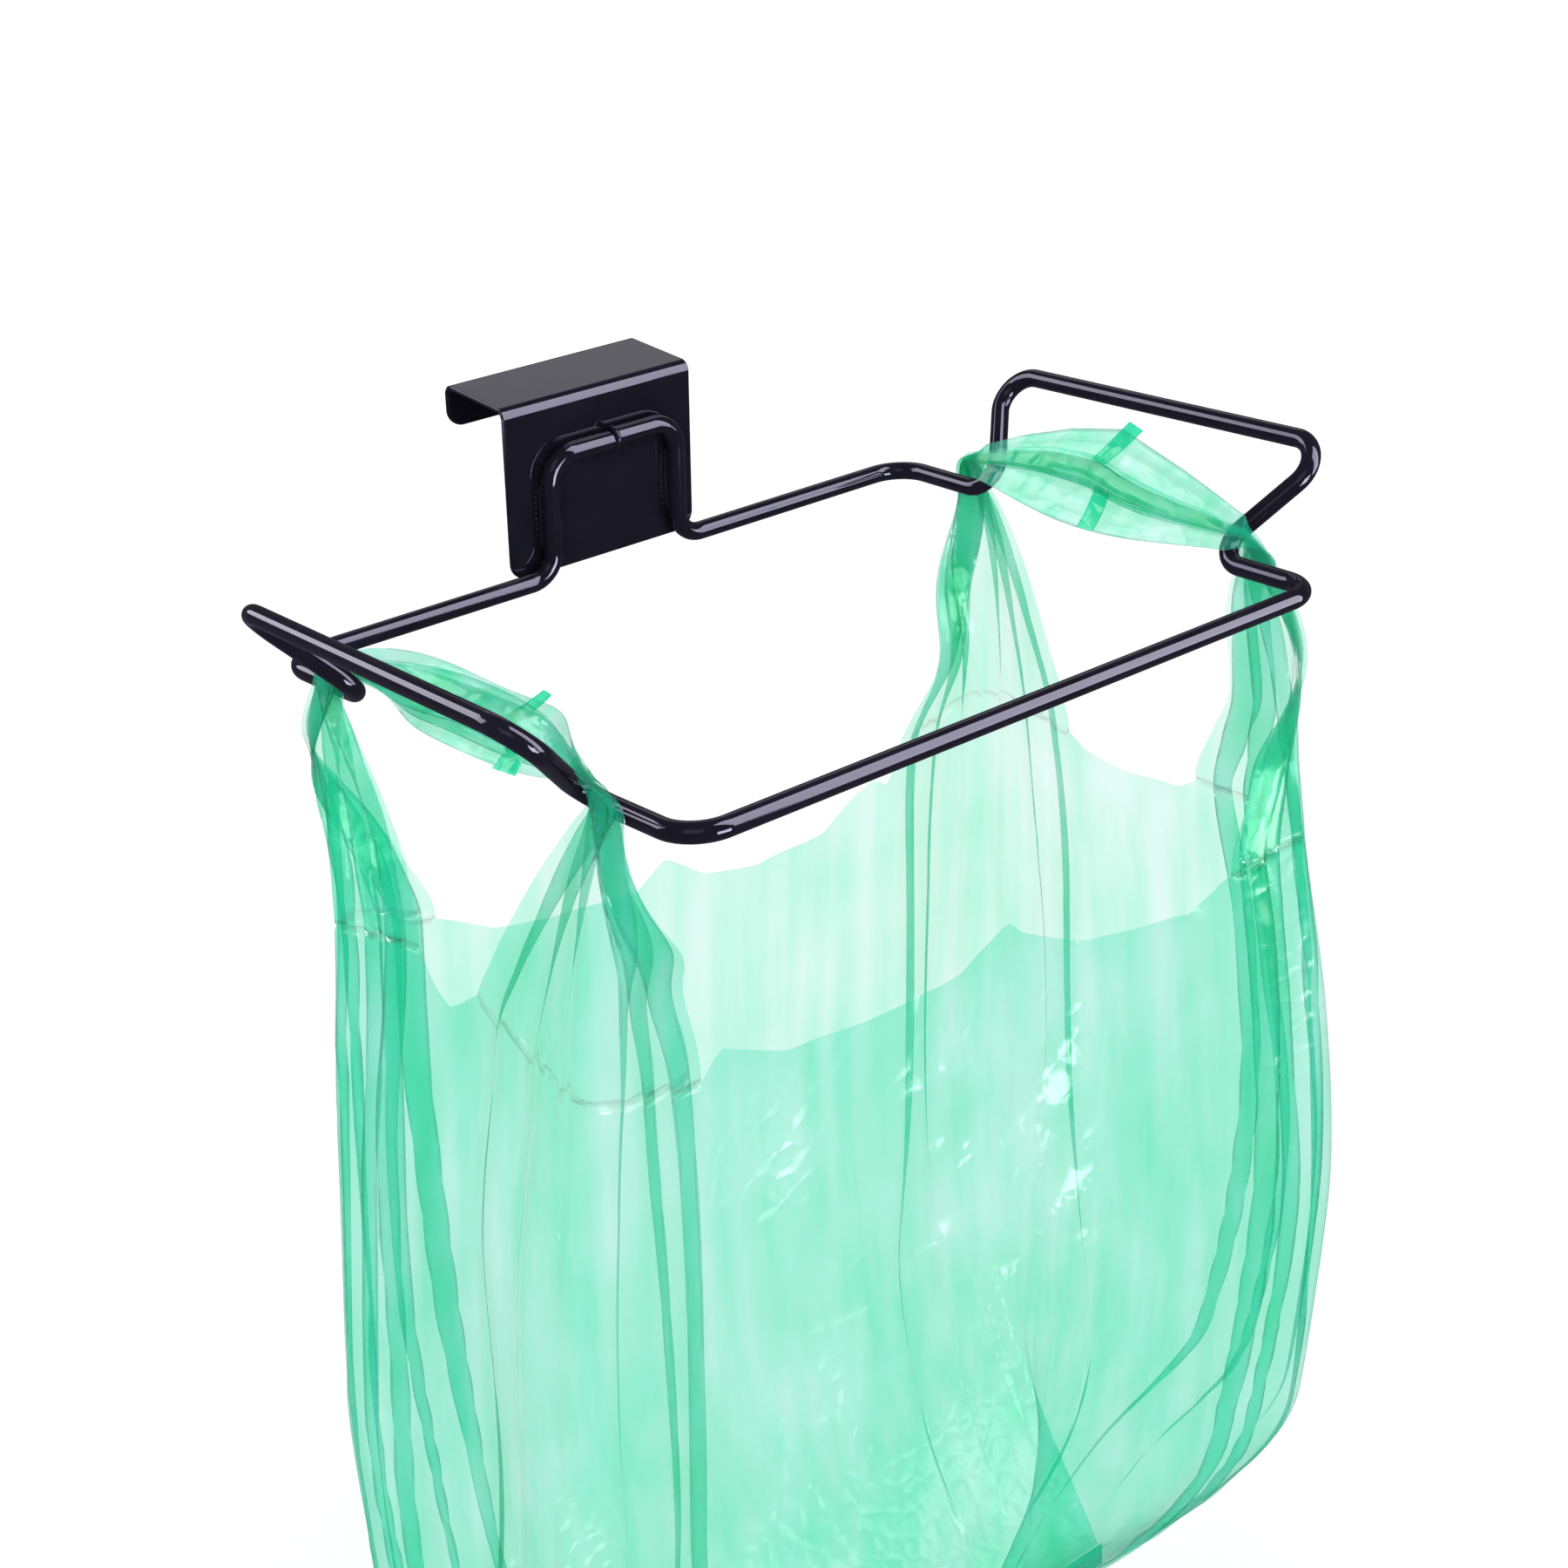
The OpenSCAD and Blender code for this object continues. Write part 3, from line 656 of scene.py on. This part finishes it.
def polyethylene_film(name, tint_thin, tint_rich, haze, scatter, crinkle):
    """Blown polyethylene film: each layer lets most light straight through with a mint
    tint, scatters a little, and has a waxy gloss that breaks up on its crinkles."""
    material, tree = new_material(name)
    where = add_node(tree, "ShaderNodeTexCoord").outputs["Object"]
    # Thick and thin bands about 10 mm apart, along the bag's height
    lines = add_node(tree, "ShaderNodeMapping", {"Vector": where, "Scale": (95.0, 95.0, 5.0)})
    streak = add_node(tree, "ShaderNodeTexNoise", {
        "Vector": lines.outputs["Vector"], "Scale": 1.0, "Detail": 2.0})
    # Cloudy thick and thin patches, about 45 mm across, under the bands
    cloud = add_node(tree, "ShaderNodeTexNoise", {"Vector": where, "Scale": 22.0, "Detail": 2.0})
    both = add_node(tree, "ShaderNodeMath", {0: streak.outputs["Fac"], 1: 0.55},
                    operation="MULTIPLY")
    mixed = add_node(tree, "ShaderNodeMath", {
        0: cloud.outputs["Fac"], 1: 0.45, 2: both.outputs[0]}, operation="MULTIPLY_ADD")
    tint = colour_ramp(tree, mixed.outputs[0], ((0.34, tint_thin), (0.66, tint_rich)))
    # Crinkles about 7 mm apart, with finer ones of 2.5 mm
    creases = add_node(tree, "ShaderNodeTexVoronoi", {"Vector": where, "Scale": 140.0},
                       feature="DISTANCE_TO_EDGE")
    fine = add_node(tree, "ShaderNodeTexNoise", {"Vector": where, "Scale": 400.0, "Detail": 1.0})
    ridge = add_node(tree, "ShaderNodeMapRange", {
        "Value": creases.outputs["Distance"], "From Min": 0.0, "From Max": 0.25,
        "To Min": 1.0, "To Max": 0.0})
    coarse_bump = add_node(tree, "ShaderNodeBump", {
        "Strength": crinkle, "Distance": 0.35 * MM, "Height": ridge.outputs["Result"]})
    bump = add_node(tree, "ShaderNodeBump", {
        "Strength": crinkle * 0.6, "Distance": 0.12 * MM, "Height": fine.outputs["Fac"],
        "Normal": coarse_bump.outputs["Normal"]})
    clear = add_node(tree, "ShaderNodeBsdfTransparent", {"Color": tint})
    waxy = add_node(tree, "ShaderNodeBsdfPrincipled", {
        "Base Color": scatter, "Roughness": 0.24, "IOR": 1.52,
        "Normal": bump.outputs["Normal"]})
    through = add_node(tree, "ShaderNodeBsdfTranslucent", {
        "Color": scatter, "Normal": bump.outputs["Normal"]})
    milky = add_node(tree, "ShaderNodeMixShader", {
        0: 0.45, 1: waxy.outputs["BSDF"], 2: through.outputs["BSDF"]})
    film = add_node(tree, "ShaderNodeMixShader", {
        0: haze, 1: clear.outputs["BSDF"], 2: milky.outputs["Shader"]})
    # Gloss of 1.6 % face on and 35 % at grazing angles, the same from inside and outside
    facing = add_node(tree, "ShaderNodeLayerWeight", {
        "Blend": 0.5, "Normal": bump.outputs["Normal"]})
    grazing = add_node(tree, "ShaderNodeMath", {0: facing.outputs["Facing"], 1: 5.0},
                       operation="POWER")
    shine = add_node(tree, "ShaderNodeMapRange", {
        "Value": grazing.outputs[0], "To Min": 0.016, "To Max": 0.35})
    gloss = add_node(tree, "ShaderNodeBsdfGlossy", {
        "Color": linear("#FFFFFF"), "Roughness": 0.16, "Normal": bump.outputs["Normal"]})
    surface = add_node(tree, "ShaderNodeMixShader", {
        0: shine.outputs["Result"], 1: film.outputs["Shader"], 2: gloss.outputs["BSDF"]})
    add_node(tree, "ShaderNodeOutputMaterial", {"Surface": surface.outputs["Shader"]})
    return material


def studio_paper():
    """Matt white background paper, lit until it reads as plain white."""
    material, tree = new_material("matt_background_paper")
    where = add_node(tree, "ShaderNodeTexCoord").outputs["Object"]
    grain = add_node(tree, "ShaderNodeTexNoise", {"Vector": where, "Scale": 300.0})
    tone = colour_ramp(tree, grain.outputs["Fac"],
                       ((0.0, linear("#F8F8F8")), (1.0, linear("#FDFDFD"))))
    paper = add_node(tree, "ShaderNodeBsdfPrincipled", {
        "Base Color": tone, "Roughness": 0.9, "Specular IOR Level": 0.0,
        "Emission Color": linear("#FFFFFF"), "Emission Strength": 0.10})
    add_node(tree, "ShaderNodeOutputMaterial", {"Surface": paper.outputs["BSDF"]})
    return material


# ---- Pieces ----

class HOLDER_OT_coat_wire(bpy.types.Operator):
    """Coats every length of the bent wire"""

    bl_idname = "bag_holder.coat_wire"
    bl_label = "Coat the wire"

    def execute(self, context):
        coat = gloss_powder_coat()
        for name, node in NODES.items():
            if not name.startswith(("bag_", "strap_", "handle_")):
                node.data.materials.clear()
                node.data.materials.append(coat)
        return {"FINISHED"}


class HOLDER_OT_fold_hook(bpy.types.Operator):
    """Makes the folded hook with the soft edges that the coating leaves"""

    bl_idname = "bag_holder.fold_hook"
    bl_label = "Fold the hook"

    def execute(self, context):
        finish = context.scene.bag_holder_finish
        sheet = bmesh.new()
        sheet.from_mesh(NODES["hook_plate"].data)
        bmesh.ops.remove_doubles(sheet, verts=sheet.verts, dist=1e-6)
        bmesh.ops.dissolve_limit(sheet, angle_limit=math.radians(0.5), verts=sheet.verts,
                                 edges=sheet.edges)
        hard = [e for e in sheet.edges
                if len(e.link_faces) == 2 and e.calc_face_angle() > math.radians(50)]
        bmesh.ops.bevel(sheet, geom=hard, offset=finish.edge_round, segments=3, affect="EDGES",
                        clamp_overlap=True)
        bmesh.ops.triangulate(sheet, faces=[f for f in sheet.faces if len(f.verts) > 4])
        mesh = bpy.data.meshes.new("hook_body")
        sheet.to_mesh(mesh)
        sheet.free()
        mesh.shade_smooth()
        mesh.set_sharp_from_angle(angle=math.radians(32))
        mesh.materials.append(NODES["hook_plate"].data.materials[0])
        hook = bpy.data.objects.new("hook_body", mesh)
        context.scene.collection.objects.link(hook)
        smooth = hook.modifiers.new("even", "WEIGHTED_NORMAL")
        smooth.keep_sharp = True
        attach(hook, "holder")
        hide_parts("hook_plate")
        return {"FINISHED"}


class HOLDER_OT_lay_welds(bpy.types.Operator):
    """Lays a rippled weld bead each side of the hanger's legs"""

    bl_idname = "bag_holder.lay_welds"
    bl_label = "Lay the welds"

    def execute(self, context):
        reach = context.scene.bag_holder_finish.bead_reach / MM
        coat = NODES["front_rail"].data.materials[0]
        ripple_gap = 1.5  # from one ripple of the bead to the next
        # A bead's centre from the leg's, how deep it is sunk, and its height for its width
        beside, sunk, flat = 1.75, 0.35, 0.8
        for name in ("weld_left", "weld_right"):
            low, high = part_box(name)
            leg = (low.x + high.x) / 2 / MM
            top, bottom, face = high.z / MM, low.z / MM, high.y / MM
            points, faces = [], []
            for edge in (-1, 1):
                rows, around = 60, 17
                start = len(points)
                z = np.linspace(bottom, top, rows)
                ends = np.sqrt(np.clip(np.sin(np.linspace(0, math.pi, rows)), 0, 1)) ** 0.6
                size = reach * ends * (1 + 0.09 * np.sin(2 * math.pi * z / ripple_gap))
                for k in range(rows):
                    for j in range(around):
                        turn = 2 * math.pi * j / (around - 1)
                        points.append((leg + edge * beside + size[k] * math.cos(turn),
                                       face - sunk + size[k] * math.sin(turn) * flat, z[k]))
                faces += grid_faces(rows, around, start)
            bead = make_piece(name + "_bead", points, faces, coat)
            welded = bmesh.new()
            welded.from_mesh(bead.data)
            bmesh.ops.remove_doubles(welded, verts=welded.verts, dist=1e-6)
            welded.to_mesh(bead.data)
            welded.free()
            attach(bead, "holder")
            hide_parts(name)
        return {"FINISHED"}


class HOLDER_OT_hang_bag(bpy.types.Operator):
    """Hangs the film bag by its handles from the wings' feet"""

    bl_idname = "bag_holder.hang_bag"
    bl_label = "Hang the bag"

    def execute(self, context):
        sizes = context.scene.bag_holder_bag
        material = polyethylene_film("blown_polyethylene_film", linear("#F8FBFB"),
                                     linear("#C4F5E2"), sizes.haze, (*sizes.film, 1.0), 0.35)
        points, faces = build_film(sizes)
        bag = make_piece("bag_film", points, faces, material)
        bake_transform(bag)
        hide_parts("bag_front_panel", "bag_back_panel", "bag_gusset_left",
                    "bag_gusset_right", "bag_floor_fold", "strap_front_left",
                    "strap_front_right", "strap_rear_left", "strap_rear_right",
                    "handle_band_left", "handle_band_right")
        bag.visible_glossy = False  # keeps the coating's reflections free of the film
        return {"FINISHED"}


class HOLDER_OT_seal_bag(bpy.types.Operator):
    """Adds the heat seals across the handles and along the bag's foot"""

    bl_idname = "bag_holder.seal_bag"
    bl_label = "Seal the bag"

    def execute(self, context):
        sizes = context.scene.bag_holder_bag
        width = sizes.seal_width / MM
        material = polyethylene_film("heat_sealed_polyethylene_film", linear("#5AE3AC"),
                                     linear("#2FD495"), 0.42, (*sizes.film, 1.0), 0.5)
        seal_out = 2.4  # from the handle's first layer
        across = np.linspace(-0.5, 0.5, 9)
        # Each seal shows in two lengths: a share of the handle's height, and how far along
        # the handle it lies there from the seal's place
        stretches = (((0.55, -0.04), (1.09, 0.05)), ((-0.005, 0.06), (0.46, 0.04)))
        for name, side, place in (("left", -1, 0.65), ("right", 1, 0.47)):
            points, faces = [], []
            for (low, from_low), (high, from_high) in stretches:
                start = len(points)
                ups = np.linspace(low, high, 22)
                for up in ups:
                    part = (up - low) / (high - low)
                    bow = 0.012 * math.sin(part * math.pi)
                    along = (place + from_low + (from_high - from_low) * part + bow
                             + across * width / HANDLE_LENGTH)
                    ribs = 0.10 * np.sin(across * 9 * math.pi)
                    out = seal_out + ribs + 0.25 * math.sin(up * 9)
                    points += list(handle_point(side, along, up + 0 * across, out))
                faces += grid_faces(len(ups), len(across), start)
            seal = make_piece("handle_weld_" + name, points, faces, material)
            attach(seal, "holder")
            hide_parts("handle_seal_" + name)
        low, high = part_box("bag_bottom_seal")
        rows, columns = 25, 131
        x = np.linspace(low.x, high.x, columns) / MM
        z = np.linspace(high.z + 0.8 * MM, low.z, rows) / MM
        points = []
        for k, level in enumerate(z):
            crimp = 0.22 * math.cos(k * math.pi)  # the sealing bar's fine ribs
            wave = 0.6 * np.sin(x / 31) + 0.35 * np.sin(x / 13 + 1)
            points += [(a, FOOT_Y + w * k / rows + crimp, level) for a, w in zip(x, wave)]
        seal = make_piece("foot_weld", points, grid_faces(rows, columns), material)
        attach(seal, "bag")
        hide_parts("bag_bottom_seal")
        return {"FINISHED"}


# ---- Stage ----

# Softboxes that only glossy surfaces see: the way from the part, the distance in metres,
# the sizes, and how strong each is beside the set strength. The front and left ones draw
# the strips on the rods, the one behind lights the hook's top, and the low one glints on
# the crumpled film.
SOFTBOXES = (
    ("softbox_front", (0.58, -0.617, 0.556), 1.3, (0.75, 2.3), 1.45),
    ("softbox_left", (-0.60, 0.683, 0.415), 1.3, (1.0, 0.7), 1.0),
    ("softbox_behind", (0.556, 0.683, 0.475), 1.9, (0.9, 0.7), 0.09),
    ("glint_low", (0.10, -0.95, -0.10), 1.1, (0.5, 0.45), 3.0),
)
KEY_PLACE, KEY_SIZE, KEY_POWER = (-1.3, -1.1, 1.1), (1.2, 1.2), 3.0
CAMERA_PLACE = (-0.37901, -0.55182, 0.23570)
CAMERA_ROLL = math.radians(-0.42)
# The backdrop in millimetres: half its size, and where it starts to curve up behind
BACKDROP_HALF, BACKDROP_FLAT, BACKDROP_TOP = 9000.0, 6000.0, 6000.0


def add_light(name, place, size, power, colour="#FFFFFF", gloss_only=False):
    """A rectangular softbox that points at the part."""
    lamp = bpy.data.lights.new(name, "AREA")
    lamp.shape = "RECTANGLE"
    lamp.size, lamp.size_y = size
    lamp.energy = power
    lamp.color = linear(colour)[:3]
    light = bpy.data.objects.new(name, lamp)
    bpy.context.scene.collection.objects.link(light)
    light.location = place
    light.rotation_euler = (Vector(place) - PART_CENTRE).to_track_quat("Z", "Y").to_euler()
    light.visible_camera = False
    if gloss_only:
        light.visible_diffuse = False
        light.visible_transmission = False


class HOLDER_OT_set_stage(bpy.types.Operator):
    """Sets the floor, the soft light and the camera"""

    bl_idname = "bag_holder.set_stage"
    bl_label = "Set the stage"

    def execute(self, context):
        studio = context.scene.bag_holder_studio
        scene = context.scene
        scene.view_settings.view_transform = "Standard"
        scene.cycles.transparent_max_bounces = 40  # the pleated film lies in many layers

        # Pale floor, curved up far behind
        curve = BACKDROP_HALF - BACKDROP_FLAT
        bend = np.linspace(0, math.pi / 2, 16)
        profile = [(-BACKDROP_HALF, 0.0),
                   *((BACKDROP_FLAT + curve * math.sin(a), curve - curve * math.cos(a))
                     for a in bend), (BACKDROP_HALF, BACKDROP_TOP)]
        floor_z = CAD_BOX[0].z / MM - studio.floor_drop / MM
        columns = np.linspace(-BACKDROP_HALF, BACKDROP_HALF, 7)
        points = [(x, y, z + floor_z) for y, z in profile for x in columns]
        floor = make_piece("backdrop", points, grid_faces(len(profile), len(columns)),
                           studio_paper())
        floor.visible_glossy = False

        world = bpy.data.worlds.new("studio")
        world.use_nodes = True
        tree = world.node_tree
        tree.nodes.clear()
        # Glossy surfaces see a dim violet room, so that the softboxes draw clear strips
        ray = add_node(tree, "ShaderNodeLightPath")
        room = add_node(tree, "ShaderNodeBackground", {
            "Color": linear("#FFFFFF"), "Strength": 1.0})
        dark = add_node(tree, "ShaderNodeBackground", {
            "Color": linear("#B9B6CC"), "Strength": 0.17})
        pick = add_node(tree, "ShaderNodeMixShader", {
            0: ray.outputs["Is Glossy Ray"], 1: room.outputs["Background"],
            2: dark.outputs["Background"]})
        add_node(tree, "ShaderNodeOutputWorld", {"Surface": pick.outputs["Shader"]})
        scene.world = world

        for name, way, reach, size, share in SOFTBOXES:
            place = PART_CENTRE + Vector(way) * reach
            add_light(name, place, size, share * studio.softbox * size[0] * size[1],
                      "#FDFCFF", True)
        add_light("key", KEY_PLACE, KEY_SIZE, KEY_POWER)

        lens = bpy.data.cameras.new("camera")
        lens.lens, lens.sensor_width = studio.lens, 36.0
        lens.clip_start, lens.clip_end = 0.01, 60.0
        camera = bpy.data.objects.new("camera", lens)
        scene.collection.objects.link(camera)
        camera.location = CAMERA_PLACE
        look = (PART_CENTRE - camera.location).to_track_quat("-Z", "Y").to_matrix().to_4x4()
        roll = Matrix.Rotation(CAMERA_ROLL, 4, "Z")
        camera.matrix_world = Matrix.Translation(camera.location) @ look @ roll
        scene.camera = camera
        return {"FINISHED"}


class HOLDER_PT_panel(bpy.types.Panel):
    """Lists the pieces of the bag holder"""

    bl_idname = "HOLDER_PT_panel"
    bl_label = "Bag holder"
    bl_space_type = "VIEW_3D"
    bl_region_type = "UI"
    bl_category = "Bag holder"

    def draw(self, context):
        for group in ("bag_holder_finish", "bag_holder_bag", "bag_holder_studio"):
            settings = getattr(context.scene, group)
            for name in settings.__annotations__:
                self.layout.prop(settings, name)
        for operator in OPERATORS:
            self.layout.operator(operator.bl_idname)


OPERATORS = (HOLDER_OT_coat_wire, HOLDER_OT_fold_hook, HOLDER_OT_lay_welds,
             HOLDER_OT_hang_bag, HOLDER_OT_seal_bag, HOLDER_OT_set_stage)
GROUPS = {"bag_holder_finish": HolderFinish, "bag_holder_bag": FilmBagSizes,
          "bag_holder_studio": StudioSettings}


def register():
    for group in GROUPS.values():
        bpy.utils.register_class(group)
    for name, group in GROUPS.items():
        setattr(bpy.types.Scene, name, PointerProperty(type=group))
    for item in (*OPERATORS, HOLDER_PT_panel):
        bpy.utils.register_class(item)


def unregister():
    for item in (HOLDER_PT_panel, *reversed(OPERATORS)):
        bpy.utils.unregister_class(item)
    for name in GROUPS:
        delattr(bpy.types.Scene, name)
    for group in GROUPS.values():
        bpy.utils.unregister_class(group)


def main():
    register()
    bpy.ops.bag_holder.coat_wire()
    bpy.ops.bag_holder.fold_hook()
    bpy.ops.bag_holder.lay_welds()
    bpy.ops.bag_holder.hang_bag()
    bpy.ops.bag_holder.seal_bag()
    bpy.ops.bag_holder.set_stage()


if __name__ == "__main__":
    main()
